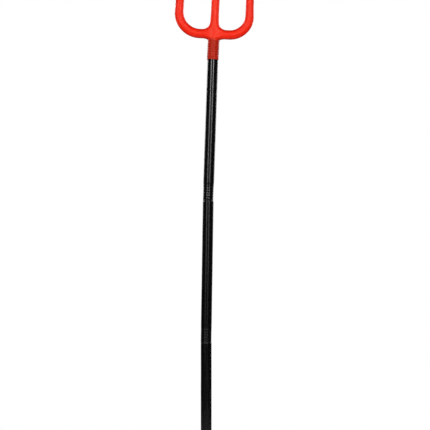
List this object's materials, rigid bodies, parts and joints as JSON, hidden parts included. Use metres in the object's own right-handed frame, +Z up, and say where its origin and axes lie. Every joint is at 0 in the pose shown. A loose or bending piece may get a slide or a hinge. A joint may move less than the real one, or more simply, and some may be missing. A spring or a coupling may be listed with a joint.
{
  "type": "toy pitchfork",
  "caption": "Costume devil's pitchfork: a red barbed fork head on a long black pole, whose hollow plastic sections push together with ribbed spigots and sockets.",
  "frame": {"origin": "centre of the flat foot of the end cap", "axes": "+Z up the axis of the lower pole section, +X across the tines, towards which the upper pieces lean slightly, +Y from the front of the fork to its back"},
  "size_m": [0.181, 0.025, 1.1695],
  "materials": {
    "head_plastic": "satin gloss, slightly translucent red",
    "pole_plastic": "gloss black"
  },
  "bodies": {
    "lower": {"lower_section": "pole_plastic", "end_cap": "pole_plastic"},
    "middle": {"middle_section": "pole_plastic"},
    "upper": {"upper_section": "pole_plastic"},
    "head": {"fork_head": "head_plastic"}
  },
  "joints": [
    {"name": "middle_pull", "type": "slide", "parent": "lower", "child": "middle", "axis": [0, 0, 1], "range_m": [0, 0.045]},
    {"name": "upper_pull", "type": "slide", "parent": "middle", "child": "upper", "axis": [0.0154, 0, 0.9999], "range_m": [0, 0.045]},
    {"name": "head_pull", "type": "slide", "parent": "upper", "child": "head", "axis": [0.0339, 0, 0.9994], "range_m": [0, 0.045]}
  ]
}
